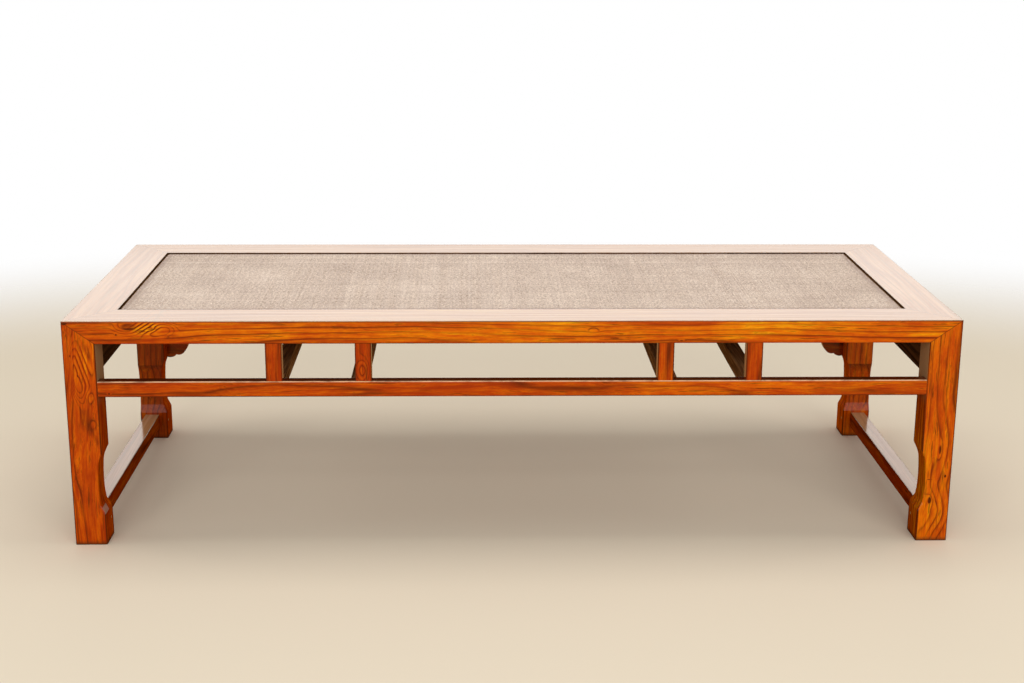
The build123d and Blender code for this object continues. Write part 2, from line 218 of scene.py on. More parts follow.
print("floor fades out from", fade_start, "to", fade_end, "m")

# %% [markdown]
# The room is the world itself. Its light on the table is weak, so that the lamps can shape it.
# To the eye and in reflections it is plain white, which Light Path tells apart.

# %% The white room
ambient = 0.34
world = bpy.data.worlds.new("white_room")
world.use_nodes = True
scene.world = world
tree = world.node_tree
tree.nodes.clear()
path = add(tree, "ShaderNodeLightPath").outputs
seen = add(tree, MATH, {0: path["Is Camera Ray"], 1: path["Is Glossy Ray"]}, operation="MAXIMUM")
seen = add(tree, MATH, {0: seen, 1: path["Is Transmission Ray"]}, operation="MAXIMUM")
lit = add(tree, "ShaderNodeBackground", {"Color": linear("#FFFFFF"), "Strength": ambient})
white = add(tree, "ShaderNodeBackground", {"Color": linear("#FFFFFF"), "Strength": 1.0})
room = add(tree, "ShaderNodeMixShader", {0: seen, 1: lit, 2: white})
add(tree, "ShaderNodeOutputWorld", {"Surface": room})
print("light of the room itself:", ambient)

# %% [markdown]
# Soft lamps do the lighting: one overhead, a large one at the front, one at the back and two weak
# ones at the ends. At the flat angle at which the camera sees the top, the clear coat mirrors
# what stands behind the table, so the back lamp gives the top its pale sheen. The stronger lamps
# at the front and the ends would bleach it when seen from there, so the lacquer doesn't mirror them.

# %% Lamps
# Name, place, the point it faces, width and height in metres, radiance of its surface, mirrored.
lamps = [
    ("top_lamp", (0.0, 0.1, 3.0), (0.0, 0.0, 0.2), 3.0, 1.6, 1.8, True),
    ("front_lamp", (0.2, -4.4, 1.8), (0.0, 0.0, 0.3), 6.5, 3.2, 2.7, False),
    ("back_lamp", (0.0, 3.6, 2.1), (0.0, 0.0, 0.5), 4.6, 2.0, 1.2, True),
    ("left_lamp", (-4.6, 0.0, 1.6), (0.0, 0.0, 0.3), 2.6, 2.2, 1.8, False),
    ("right_lamp", (4.6, 0.0, 1.6), (0.0, 0.0, 0.3), 2.6, 2.2, 1.8, False),
]
for name, place, target, width, height, radiance, mirrored in lamps:
    lamp_data = bpy.data.lights.new(name, "AREA")
    lamp_data.shape = "RECTANGLE"
    lamp_data.size = width
    lamp_data.size_y = height
    lamp_data.energy = radiance * pi * width * height
    lamp = bpy.data.objects.new(name, lamp_data)
    lamp.location = place
    lamp.rotation_euler = (Vector(target) - Vector(place)).to_track_quat("-Z", "Y").to_euler()
    lamp.visible_camera = False
    lamp.visible_glossy = mirrored
    scene.collection.objects.link(lamp)
    print(name, "watts:", round(lamp_data.energy, 1))

# %% [markdown]
# ## The lacquered elm
#
# Elm is a strongly figured wood: each growth ring has pale, open-pored spring wood and dark,
# dense summer wood. Stain turns the pale part orange, and a clear gloss coat lies over it. An
# image of wood would stretch and repeat. Here the log itself is modelled instead: rings round a
# pith line that runs beside each member, so that every face, edge and end shows its real cut.

# %% Lacquered elm: the log
RING = 0.0085         # metres from ring to ring, in elm that grew fast
PITH = 0.075          # the pith runs about this far from the middle of a member
TAPER = 0.02          # a trunk gets thinner upwards, so its rings are long cones
BENDS = (1.6, 10.0, 10.0)      # bends of the trunk in each metre, along it and across it
turn_to_x = {"x": (0.0, 0.0, 0.0), "y": (0.0, 0.0, radians(-90)), "z": (0.0, radians(90), 0.0)}


def elm_log(tree, place, node, grain, offset, crook):
    """Place in a log that lies along X, and is crooked by so many metres."""
    low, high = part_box(node)
    log = add(tree, VECTOR_MATH, {0: place, 1: (low + high) / 2}, operation="SUBTRACT")
    log = add(tree, "ShaderNodeMapping", {"Vector": log, "Rotation": turn_to_x[grain], "Location": offset})
    bend = add(tree, VECTOR_MATH, {0: log, 1: BENDS}, operation="MULTIPLY")
    bend = add(tree, "ShaderNodeTexNoise", {"Vector": bend, "Scale": 1.0, "Detail": 3.0, "Roughness": 0.5})
    bend = bend.outputs["Color"]
    bend = add(tree, VECTOR_MATH, {0: bend, 1: (0.5, 0.5, 0.5)}, operation="SUBTRACT")
    bend = add(tree, VECTOR_MATH, {0: bend, 1: (0.0, crook, crook)}, operation="MULTIPLY")
    return add(tree, VECTOR_MATH, {0: log, 1: bend}, operation="ADD")


# %% [markdown]
# Over the rings lie finer layers, all drawn out along the grain: broad patches where the stain
# took better, streaks, mottles and fibres. Each is a noise texture in a space that is squeezed
# along the log. The pores of real elm are 0.3 mm wide, too fine to show from three metres, so the
# fibres are drawn ten times as coarse, 3 mm apart.

# %% Lacquered elm: layers of its figure
# Features in each metre along the grain and across it, then detail and roughness of the noise.
LACQUERED_FIGURE = {
    "patch": (4.0, 16.0, 2.0, 0.5),        # 60 mm wide
    "streak": (2.4, 105.0, 3.0, 0.6),      # 10 mm wide and 400 mm long
    "mottle": (26.0, 90.0, 3.0, 0.7),      # 11 mm wide and 40 mm long
    "fibre": (12.0, 330.0, 3.0, 0.7),      # 3 mm wide
}


def figure_layers(tree, log, layers):
    """Each layer of a wood's figure by its name, as a node that gives 0 to 1."""
    drawn = {}
    for name, (along, across, detail, roughness) in layers.items():
        squeezed = add(tree, VECTOR_MATH, {0: log, 1: (along, across, across)}, operation="MULTIPLY")
        drawn[name] = add(tree, "ShaderNodeTexNoise", {
            "Vector": squeezed, "Scale": 1.0, "Detail": detail, "Roughness": roughness})
    return drawn


print("layers of the figure:", ", ".join(LACQUERED_FIGURE))

# %% [markdown]
# A knot is where a branch began. The rings swell round it and its core is dark. Each knot is a
# flattened ball of influence. Inside it, the distance from the pith is pushed out, and the rings
# follow by themselves. In a burl the wood has lost its direction: there the rings are replaced
# by slanting ones, which cut the face as darker and more golden stripes.

# %% Lacquered elm: how a knot is described
# Place and half size in metres, push of the rings, slant of the rings in a burl (0 for none),
# darkness of the core, darkness of the outline if it is an eye, and contrast of the wood round it.
Knot = namedtuple(
    "Knot", "x z half_length half_height push slant_x slant_z darkness eye contrast",
    defaults=(0.0, 0.0, 0.0, 0.0, 0.0, 0.0))


def eye_outline(tree, offset, away, knot):
    """Dark outline of an eye in the wood, strongest along its upper half."""
    inner = add(tree, MAP_RANGE, {0: away, 1: 0.65, 2: 0.9}, **SOFT)
    outer = add(tree, MAP_RANGE, {0: away, 1: 1.3, 2: 1.0}, **SOFT)
    outline = add(tree, MATH, {0: inner, 1: outer}, operation="MULTIPLY")
    height = add(tree, SPLIT, {0: offset}).outputs["Z"]
    lower = -0.3 * knot.half_height
    upper = 0.6 * knot.half_height
    strength = add(tree, MAP_RANGE, {0: height, 1: lower, 2: upper, 3: 0.25, 4: knot.eye}, **SOFT)
    return add(tree, MATH, {0: outline, 1: strength}, operation="MULTIPLY")


print("a knot has:", ", ".join(Knot._fields))

# %% Lacquered elm: how a knot changes the rings
KNOT_REACH = 2.4      # a knot bends the rings this many half sizes from its middle


def bent_round(tree, offset, away, radius, knot):
    """Distance from the pith, pushed out by a knot or slanted by a burl."""
    calm = 0.9 if knot.slant_x else 0.0
    near = add(tree, MAP_RANGE, {0: away, 1: calm, 2: KNOT_REACH, 3: 1.0, 4: 0.0}, **SOFT)
    change = knot.push
    if knot.slant_x:
        slant = (knot.slant_x, 0.0, knot.slant_z)
        slanted = add(tree, VECTOR_MATH, {0: offset, 1: slant}, operation="DOT_PRODUCT")
        slanted = add(tree, MATH, {0: slanted, 1: knot.push}, operation="ADD")
        change = add(tree, MATH, {0: slanted, 1: radius}, operation="SUBTRACT")
    return add(tree, MATH, {0: near, 1: change, 2: radius}, operation="MULTIPLY_ADD")


def knots_in(tree, place, radius, knots):
    """Put knots in the wood; return the distance from the pith, the dark cores and the lively parts."""
    core = 0.0
    lively = 0.0
    for knot in knots:
        middle = (knot.x, 0.0, knot.z)
        flatten = (1 / knot.half_length, 0.0, 1 / knot.half_height)
        offset = add(tree, VECTOR_MATH, {0: place, 1: middle}, operation="SUBTRACT")
        away = add(tree, VECTOR_MATH, {0: offset, 1: flatten}, operation="MULTIPLY")
        away = add(tree, VECTOR_MATH, {0: away}, operation="LENGTH")
        radius = bent_round(tree, offset, away, radius, knot)
        if knot.darkness:
            inside = add(tree, MAP_RANGE, {0: away, 1: 0.5, 2: 1.0, 3: knot.darkness, 4: 0.0}, **SOFT)
            core = add(tree, MATH, {0: core, 1: inside}, operation="MAXIMUM")
        if knot.eye:
            outline = eye_outline(tree, offset, away, knot)
            core = add(tree, MATH, {0: core, 1: outline}, operation="MAXIMUM")
        if knot.contrast:
            part = add(tree, MAP_RANGE, {0: away, 1: 1.6, 2: 0.6, 4: knot.contrast}, **SOFT)
            lively = add(tree, MATH, {0: lively, 1: part}, operation="MAXIMUM")
    return radius, core, lively


print("reach of a knot, in half sizes:", KNOT_REACH)

# %% [markdown]
# Cut lengthwise, the cones of a tapering trunk cross a straight board in long pointed arches.
# Each ring darkens slowly towards its summer wood and then breaks off, so a colour ramp gives its
# profile. A second, broader profile is for the stripes of a burl.

# %% Lacquered elm: growth rings


def add_rings(tree, log, knots, at):
    """Add the summer wood, the bands, the lively parts and the cores of knots to what is known."""
    radius = add(tree, VECTOR_MATH, {0: log, 1: (TAPER, 1.0, 1.0)}, operation="MULTIPLY")
    radius = add(tree, VECTOR_MATH, {0: radius}, operation="LENGTH")
    radius, at["core"], at["lively"] = knots_in(tree, at["place"], radius, knots)
    ring = add(tree, MATH, {0: radius, 1: RING}, operation="DIVIDE")
    ring = add(tree, MATH, {0: ring}, operation="FRACT")
    at["summer"] = add(tree, "ShaderNodeValToRGB", {0: ring}, stops=[
        (0.0, grey(0.7)), (0.1, grey(0.1)), (0.5, grey(0.0)), (0.8, grey(0.35)), (0.93, grey(1.0)),
        (1.0, grey(0.85))])
    band = add(tree, "ShaderNodeValToRGB", {0: ring}, stops=[
        (0.0, grey(0.3)), (0.35, grey(0.0)), (0.6, grey(0.3)), (0.9, grey(1.0)), (1.0, grey(0.75))])
    at["bands"] = add(tree, MATH, {0: band, 1: at["lively"]}, operation="MULTIPLY")


print("rings in a metre:", round(1 / RING))

# %% [markdown]
# The stain took more or less in every layer of the wood, so it runs from deep red-orange to gold.
# Every layer adds its share to one tone, and a colour ramp turns the tone into the stain. Each
# member also goes from one tone at its left end or foot to another at its far end.

# %% Lacquered elm: the stain
STAIN = [(0.0, linear("#A43000")), (0.3, linear("#C24A00")), (0.52, linear("#D86400")),
         (0.75, linear("#E88000")), (1.0, linear("#F8AA0C"))]
TONE_SHARES = {"patch": 0.9, "streak": 1.0, "mottle": 0.75, "fibre": 1.2, "lively": 0.36, "bands": -0.75}


def stained(tree, node, grain, tones, at):
    """Colour of the stain on a member: the lower the tone, the redder."""
    axis = "xyz".index(grain)
    start, end = (corner[axis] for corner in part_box(node))
    tone = add(tree, MAP_RANGE, {0: at[grain], 1: start, 2: end, 3: tones[0], 4: tones[1]})
    for layer, share in TONE_SHARES.items():
        tone = add(tree, MATH, {0: at[layer], 1: share, 2: tone}, operation="MULTIPLY_ADD")
    return add(tree, "ShaderNodeValToRGB", {0: tone}, stops=STAIN)


def redder_patch(tree, at):
    """Patches of the front rail: its lower edge and its ends are made redder and darker."""
    outward = add(tree, MATH, {0: at["x"]}, operation="ABSOLUTE")
    redder = add(tree, MAP_RANGE, {0: at["z"], 1: 0.421, 2: 0.403, 3: -0.05, 4: 0.2}, **SOFT)
    at_ends = add(tree, MAP_RANGE, {0: outward, 1: 0.45, 2: 0.62, 4: 0.17}, **SOFT)
    redder = add(tree, MATH, {0: redder, 1: at_ends}, operation="ADD")
    return add(tree, MATH, {0: at["patch"], 1: redder}, operation="SUBTRACT")


print("tones of the stain:", len(STAIN))

# %% [markdown]
# Old lacquer is rubbed thin on the arrises, where polish and dirt have left a darker line, and
# dirt sits in the mitres. Both lines are found from the place alone.

# %% Lacquered elm: dirt on the arrises
ARRIS_DIRT = 0.0035     # metres from an arris to where its dark line ends


def arris_lines(tree, node, at):
    """Mask of the arrises of a straight member, fading out a few millimetres from them."""
    low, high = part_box(node)
    away = add(tree, VECTOR_MATH, {0: at["place"], 1: (low + high) / 2}, operation="SUBTRACT")
    away = add(tree, VECTOR_MATH, {0: away}, operation="ABSOLUTE")
    away = add(tree, VECTOR_MATH, {0: away, 1: (high - low) / 2}, operation="SUBTRACT")
    x, y, z = add(tree, SPLIT, {0: away}).outputs
    # Of the three distances to the sides of the box, the middle one tells how near an edge is.
    larger = add(tree, MATH, {0: x, 1: y}, operation="MAXIMUM")
    smaller = add(tree, MATH, {0: x, 1: y}, operation="MINIMUM")
    middle = add(tree, MATH, {0: larger, 1: z}, operation="MINIMUM")
    middle = add(tree, MATH, {0: smaller, 1: middle}, operation="MAXIMUM")
    return add(tree, MAP_RANGE, {0: middle, 1: -ARRIS_DIRT, 2: -0.0008}, **SOFT)


print("dark line at an arris, in mm:", ARRIS_DIRT * 1000)

# %% Lacquered elm: dirt in the mitres
MITRE_DIRT = 0.0012     # metres from a mitre to where its dark line ends


def mitre_lines(tree, at):
    """Mask of the dirt on the mitres of the frame, on the front face and on the top."""
    leg_low, leg_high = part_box("front_right_leg")
    mat_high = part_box("mat")[1]
    rail_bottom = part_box("front_rail")[0].z
    front_slope = (table_height - rail_bottom) / (leg_high.x - leg_low.x)
    top_slope = (table_depth / 2 - mat_high.y) / (table_length / 2 - mat_high.x)
    corner = (table_length / 2, table_depth / 2, table_height)
    to_corner = add(tree, VECTOR_MATH, {0: corner, 1: at["mirrored"]}, operation="SUBTRACT")
    inward, back, down = add(tree, SPLIT, {0: to_corner}).outputs
    lines = []
    for slope, rise, depth in ((front_slope, down, back), (top_slope, back, down)):
        line = add(tree, MATH, {0: inward, 1: slope}, operation="MULTIPLY")
        line = add(tree, MATH, {0: line, 1: rise}, operation="SUBTRACT")
        line = add(tree, MATH, {0: line}, operation="ABSOLUTE")
        depth = add(tree, MATH, {0: depth, 1: 0.5}, operation="MULTIPLY")
        lines.append(add(tree, MATH, {0: line, 1: depth}, operation="ADD"))
    nearest = add(tree, MATH, {0: lines[0], 1: lines[1]}, operation="MINIMUM")
    return add(tree, MAP_RANGE, {0: nearest, 1: MITRE_DIRT, 2: 0.0004, 4: 0.7}, **SOFT)


print("dark line at a mitre, in mm:", MITRE_DIRT * 1000)

# %% Lacquered elm: all that is dark in the wood
# The dark parts of a layer: where they start and end in it, and how dark they get.
DARK_LAYERS = {"fibre": (0.55, 0.66, 0.8), "mottle": (0.60, 0.74, 0.5), "bands": (0.5, 0.95, 0.95)}


def dark_parts(tree, node, at):
    """How dark the wood is: summer lines, fibres, mottles, bands, arrises and the cores of knots."""
    lines = add(tree, MAP_RANGE, {0: at["streak"], 1: 0.66, 2: 0.36, 3: 0.35, 4: 0.85}, **SOFT)
    lines = add(tree, MATH, {0: lines, 1: at["lively"]}, operation="MAXIMUM")
    dark = add(tree, MATH, {0: at["summer"], 1: lines}, operation="MULTIPLY")
    parts = [add(tree, MAP_RANGE, {0: at[layer], 1: start, 2: end, 4: strength}, **SOFT)
             for layer, (start, end, strength) in DARK_LAYERS.items()]
    worn = add(tree, MATH, {0: at["patch"], 1: 2.0}, operation="MULTIPLY")
    parts.append(add(tree, MATH, {0: arris_lines(tree, node, at), 1: worn}, operation="MULTIPLY"))
    # The fibres tear the outline of a core.
    torn = add(tree, MAP_RANGE, {0: at["fibre"], 1: 0.38, 2: 0.52, 3: 0.5, 4: 1.0}, **SOFT)
    parts.append(add(tree, MATH, {0: at["core"], 1: torn}, operation="MULTIPLY"))
    for part in parts:
        dark = add(tree, MATH, {0: dark, 1: part}, operation="MAXIMUM")
    return dark


print("darkest layers:", ", ".join(DARK_LAYERS))

# %% [markdown]
# Use has left its marks: the feet are dirty where they meet the floor. Painted shade darkens what
# faces the front on the members behind, most of all under the cusps of the back legs. A pale
# painted reflection lies on the sloping shoulder of one foot.

# %% Lacquered elm: dirt, painted shade and a painted reflection
CUSP = 0.176          # height of the cusp on the front faces of the back legs, in metres
# Colour of painted shade, for the members in the shade under the top.
PAINTED_SHADE = linear("#2E1204")
# How far painted shade darkens what faces the front, on the members behind.
front_shade_of = {
    "back_left_leg": 0.42, "back_right_leg": 0.18, "back_left_bracket": 0.4, "back_right_bracket": 0.5}


def dirty_foot(tree, at):
    """Mask of the dirt on the lowest few millimetres of a leg, with an uneven upper edge."""
    uneven = add(tree, MATH, {0: at["mottle"], 1: -0.012}, operation="MULTIPLY")
    height = add(tree, MATH, {0: at["z"], 1: uneven}, operation="ADD")
    return add(tree, MAP_RANGE, {0: height, 1: 0.004, 2: -0.004, 4: 0.6}, **SOFT)


def shaded(tree, node, at):
    """Mask of painted shade on the faces that look to the front."""
    facing = add(tree, SPLIT, {0: at["facing"]}).outputs["Y"]
    to_front = add(tree, MAP_RANGE, {0: facing, 1: -0.3, 2: -0.7}, **SOFT)
    front_shade = front_shade_of[node]
    if "leg" in node:
        # Painted shade below the cusp, where the face turns downward.
        shade = add(tree, MAP_RANGE, {0: at["z"], 1: CUSP - 0.035, 2: CUSP - 0.001, 4: 0.6}, **SOFT)
        under = add(tree, MAP_RANGE, {0: at["z"], 1: CUSP + 0.0006, 2: CUSP}, **SOFT)
        shade = add(tree, MATH, {0: shade, 1: under}, operation="MULTIPLY")
        front_shade = add(tree, MATH, {0: shade, 1: front_shade}, operation="MAXIMUM")
    return add(tree, MATH, {0: to_front, 1: front_shade}, operation="MULTIPLY")


def shoulder_gleam(tree, node, at):
    """Mask of a pale painted reflection on the front part of a foot's sloping shoulder, below 76 mm."""
    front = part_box(node)[0].y
    facing = add(tree, SPLIT, {0: at["facing"]}).outputs["Z"]
    sloping = add(tree, MAP_RANGE, {0: facing, 1: 0.35, 2: 0.5}, **SOFT)
    low = add(tree, MAP_RANGE, {0: at["z"], 1: 0.076, 2: 0.073}, **SOFT)
    outer = add(tree, MAP_RANGE, {0: at["y"], 1: front + 0.034, 2: front + 0.028, 4: 0.8}, **SOFT)
    gleam = add(tree, MATH, {0: sloping, 1: low}, operation="MULTIPLY")
    return add(tree, MATH, {0: gleam, 1: outer}, operation="MULTIPLY")


print("smoked members:", ", ".join(front_shade_of))

# %% [markdown]
# The tops of the rails and side stretchers are painted a paler honey, as a painted sheen. The top
# of the long stretcher is painted dark, as painted shade under the rail, and its upper front arris
# gets a pale painted highlight. Each mark is a mask and a colour, and they are laid over the wood
# one by one, like glazes.

# %% Lacquered elm: painted sheen, shade and highlight on the tops
TOP_SKIN = 0.0012     # the last millimetre or so of a member's height is its top


def top_face(tree, node, at):
    """Mask of a member's top face."""
    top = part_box(node)[1].z
    return add(tree, MAP_RANGE, {0: at["z"], 1: top - TOP_SKIN, 2: top - 0.0004, 4: 0.8}, **SOFT)


def honey_sheen(tree, at):
    """Pale honey colour of the painted sheen on the tops, which goes from streak to streak."""
    streak = add(tree, MAP_RANGE, {0: at["streak"], 1: 0.3, 2: 0.7}, **SOFT)
    colours = {6: linear("#AE8658"), 7: linear("#C6A274")}
    return add(tree, MIX, {0: streak, **colours}, data_type="RGBA")


def arris_highlight(tree, node, at):
    """Mask of a painted highlight on the upper front arris of a stretcher, stronger in some places than in
    others.
    """
    low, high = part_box(node)
    away = add(tree, VECTOR_MATH, {0: at["place"], 1: (0.0, low.y, high.z)}, operation="SUBTRACT")
    away = add(tree, VECTOR_MATH, {0: away, 1: (0.0, 1.0, 1.0)}, operation="MULTIPLY")
    away = add(tree, VECTOR_MATH, {0: away}, operation="LENGTH")
    highlight = add(tree, MAP_RANGE, {0: away, 1: 0.0026, 2: 0.0012}, **SOFT)
    uneven = add(tree, MAP_RANGE, {0: at["mottle"], 1: 0.3, 2: 0.6, 3: 0.3, 4: 0.9}, **SOFT)
    return add(tree, MATH, {0: highlight, 1: uneven}, operation="MULTIPLY")


print("a rail's top starts at", round(table_height - TOP_SKIN, 4), "m")

# %% Lacquered elm: all marks of age and painted light


def marks_on(tree, node, at):
    """Mask and colour of each mark on a member, in the order in which they are laid over it."""
    if "leg" in node:
        yield dirty_foot(tree, at), linear("#4A2A12")
    if node in front_shade_of:
        # Painted shade on what faces the front.
        yield shaded(tree, node, at), PAINTED_SHADE
    if node == "front_left_leg":
        # A pale painted reflection on the shoulder of the foot.
        yield shoulder_gleam(tree, node, at), linear("#C4B4A4")
    if "rail" in node or "side_stretcher" in node:
        # Painted sheen on the tops.
        yield top_face(tree, node, at), honey_sheen(tree, at)
    if node == "front_stretcher":
        # Painted shade on the top of the long stretcher, under the rail.
        yield top_face(tree, node, at), linear("#3A1A0C")
        # A painted highlight on its upper front arris.
        yield arris_highlight(tree, node, at), linear("#F0BE92")
    yield mitre_lines(tree, at), linear("#4A2008")


# %% [markdown]
# A few faces have no clear coat: the insides of the end boards, the upper insides of the legs, and
# the edge round the mat. The insides of the end boards and the edge round the mat are also painted
# dark, as painted shade. The faces that look in under the table lose their gloss too, and painted
# shade darkens some of them. Each such member gives two masks, one where the wood is bare and one
# where the clear coat is missing.

# %% Lacquered elm: faces without lacquer
BARE_FROM = 0.27      # the insides of the legs are bare above about this height, in metres
BARE_TO = 0.34
MAT_LINE = Vector((0.0028, 0.0028, 0.0))      # the narrow line between mat and frame is bare too, painted dark as shade in the gap
# How far painted shade darkens the faces that look in under the table.
shade_inside_of = {
    "front_left_leg": 0.1, "front_right_leg": 0.3, "left_side_stretcher": 0.42, "right_side_stretcher": 0.35}


def inner_faces(tree, node, at):
    """Masks for a leg or a side stretcher, of what looks in under the table."""
    inward = (-1.0 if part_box(node)[0].x > 0 else 1.0, 0.0, 0.0)
    inner = add(tree, VECTOR_MATH, {0: at["facing"], 1: inward}, operation="DOT_PRODUCT")
    inner = add(tree, MAP_RANGE, {0: inner, 1: 0.78, 2: 0.94}, **SOFT)
    high = add(tree, MAP_RANGE, {0: at["z"], 1: BARE_FROM, 2: BARE_TO}, **SOFT)
    bare = add(tree, MATH, {0: inner, 1: high}, operation="MULTIPLY")
    return bare, inner


def unpolished(tree, node, at):
    """Two masks, one of bare wood and one of missing lacquer, or None if polished all over."""
    if "leg" in node or "side_stretcher" in node:
        return inner_faces(tree, node, at)
    if "end_board" in node:
        inner_x = min(abs(corner.x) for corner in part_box(node))
        x = add(tree, SPLIT, {0: at["mirrored"]}).outputs["X"]
        # Painted shade: the inside of an end board is painted as dark bare wood.
        bare = add(tree, MAP_RANGE, {0: x, 1: inner_x + 0.004, 2: inner_x + 0.002}, **SOFT)
        return bare, bare
    if "rail" in node:
        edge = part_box("mat")[1] + MAT_LINE
        beside = add(tree, VECTOR_MATH, {0: at["mirrored"], 1: edge}, operation="SUBTRACT")
        x, y, z = add(tree, SPLIT, {0: beside}).outputs
        outermost = add(tree, MATH, {0: x, 1: y}, operation="MAXIMUM")
        # Painted shade in the narrow gap between mat and frame.
        bare = add(tree, MATH, {0: outermost, 1: 0.0}, operation="LESS_THAN")
        return bare, bare
    return None


print("grimy members:", ", ".join(shade_inside_of))

# %% [markdown]
# The clear coat goes over everything. Lacquer has an IOR of about 1.45 and was rubbed to a soft
# gloss. The wood below doesn't shine by itself, and the fibres are only a faint relief.

# %% Lacquered elm: the coat
COAT = 0.9      # clear coat on polished wood, where 1 is the full weight
BARE_LIGHT = linear("#A8825C")                             # bare wood inside the legs
SHADED_BARE = {6: linear("#38220F"), 7: linear("#5E4028")}     # bare wood elsewhere, darkened with painted shade, from streak to streak


def lacquer_coat(tree, node, wood, at):
    """Clear gloss lacquer over the wood, except where the member was never polished."""
    relief = add(tree, "ShaderNodeBump", {"Height": at["fibre"], "Strength": 0.1, "Distance": 0.0006})
    finish = {"Base Color": wood, "Roughness": 0.45, "Specular IOR Level": 0.0, "Normal": relief,
              "Coat Weight": COAT, "Coat Roughness": 0.12, "Coat IOR": 1.45}
    masks = unpolished(tree, node, at)
    if masks:
        bare, uncoated = masks
        streak = add(tree, MAP_RANGE, {0: at["streak"], 1: 0.38, 2: 0.62}, **SOFT)
        plain = add(tree, MIX, {0: streak, **SHADED_BARE}, data_type="RGBA")
        if "leg" in node:
            plain = BARE_LIGHT
        # Painted shade on the faces that look in under the table.
        if node in shade_inside_of:
            inside_shade = add(tree, MATH, {0: uncoated, 1: shade_inside_of[node]}, operation="MULTIPLY")
            wood = add(tree, MIX, {0: inside_shade, 6: wood, 7: PAINTED_SHADE}, data_type="RGBA")
        finish["Base Color"] = add(tree, MIX, {0: bare, 6: wood, 7: plain}, data_type="RGBA")
        finish["Coat Weight"] = add(tree, MATH, {0: COAT, 1: uncoated}, operation="SUBTRACT", use_clamp=True)
    shader = add(tree, "ShaderNodeBsdfPrincipled", finish)
    add(tree, "ShaderNodeOutputMaterial", {"Surface": shader})


print("clear coat:", COAT)

# %% Lacquered elm: the whole finish of a member


def lacquered_elm(node, grain, offset, crook, tones, knots=()):
    """Stained elm under clear gloss lacquer, for one member, with its grain along one axis."""
    material, tree = new_material("lacquered_elm_" + node)
    place = add(tree, "ShaderNodeTexCoord").outputs["Object"]
    log = elm_log(tree, place, node, grain, offset, crook)
    # What is known at each point of the wood, by name.
    at = figure_layers(tree, log, LACQUERED_FIGURE)
    at["place"] = place
    at["x"], at["y"], at["z"] = add(tree, SPLIT, {0: place}).outputs
    at["mirrored"] = add(tree, VECTOR_MATH, {0: place}, operation="ABSOLUTE")
    at["facing"] = add(tree, "ShaderNodeNewGeometry").outputs["Normal"]
    add_rings(tree, log, knots, at)
    if node == "front_rail":
        at["patch"] = redder_patch(tree, at)
    wood = stained(tree, node, grain, tones, at)
    dark = dark_parts(tree, node, at)
    for mask, colour in ((dark, linear("#541800")), *marks_on(tree, node, at)):
        wood = add(tree, MIX, {0: mask, 6: wood, 7: colour}, data_type="RGBA")
    lacquer_coat(tree, node, wood, at)
    nodes[node].material_slots[0].material = material


print("members to finish:", list(slot_of.values()).count("lacquered_elm"))

# %% [markdown]
# Each member is cut from another part of the log, so each gets its own offset to the pith, its
# own crook and its own tones of stain. The back left leg's tones are darker still, as painted
# shade under the top. Only a few have knots. The largest is a burl at the left end of the front
# rail, with its own dark core beside it. Narrow ones are cracks and dents.

# %% Lacquered elm: knots of the front rail and its stretcher
knots_of = {
    "front_rail": [
        Knot(-0.724, 0.436, 0.019, 0.0090, push=0.010, darkness=1.0, contrast=0.3),
        Knot(-0.692, 0.434, 0.028, 0.0105, push=0.052, slant_x=-0.73, slant_z=1.16, contrast=1.2),
        Knot(-0.700, 0.428, 0.010, 0.0030, darkness=0.8),
        Knot(-0.844, 0.4430, 0.0085, 0.0032, darkness=1.5),      # open corner of the left mitre
        Knot(-0.675, 0.4462, 0.009, 0.0012, darkness=1.0),
        Knot(-0.680, 0.432, 0.004, 0.0030, push=0.004, darkness=0.6),
        Knot(-0.748, 0.421, 0.0024, 0.0020, push=0.004, darkness=1.2),
        Knot(-0.645, 0.419, 0.022, 0.0011, push=0.002, darkness=0.6),
        Knot(0.148, 0.428, 0.010, 0.0050, push=0.004, eye=0.8),
        Knot(0.167, 0.404, 0.004, 0.0013, push=0.003, darkness=0.8),
        Knot(0.188, 0.413, 0.012, 0.0014, push=0.003, darkness=0.9),
        Knot(0.315, 0.408, 0.005, 0.0015, push=0.003, darkness=0.9)],
    "front_stretcher": [Knot(-0.768, 0.305, 0.003, 0.0022, push=0.003, darkness=1.1)],
    "front_strut_2": [Knot(-0.287, 0.350, 0.008, 0.016, push=0.022, contrast=0.6)],
}
print("knots in the front rail:", len(knots_of["front_rail"]))

# %% Lacquered elm: knots of the front legs
knots_of["front_left_leg"] = [
    Knot(-0.816, 0.357, 0.013, 0.036, push=0.063, slant_x=1.15, slant_z=0.34, contrast=0.8),
    Knot(-0.804, 0.300, 0.008, 0.010, push=0.010, darkness=0.2, contrast=0.5),
    Knot(-0.799, 0.246, 0.004, 0.007, push=0.004, darkness=0.15, contrast=0.15),
    Knot(-0.836, 0.380, 0.0018, 0.003, push=0.002, darkness=1.0),
    Knot(-0.845, 0.4425, 0.0085, 0.0032, darkness=1.5),          # open corner of the left mitre
    Knot(-0.824, 0.341, 0.0018, 0.003, push=0.002, darkness=1.0)]
knots_of["front_right_leg"] = [
    Knot(0.824, 0.188, 0.003, 0.012, push=0.008, darkness=1.0, contrast=0.55),
    Knot(0.838, 0.134, 0.003, 0.004, push=0.003, darkness=1.2),
    Knot(0.811, 0.084, 0.005, 0.010, push=0.008, darkness=1.0, contrast=0.5),
    Knot(0.822, 0.058, 0.021, 0.028, push=0.015, contrast=0.4),
    Knot(0.808, 0.127, 0.007, 0.0012, darkness=0.9),
    Knot(0.832, 0.205, 0.012, 0.045, push=0.010, contrast=0.3)]
print("members with knots:", len(knots_of))

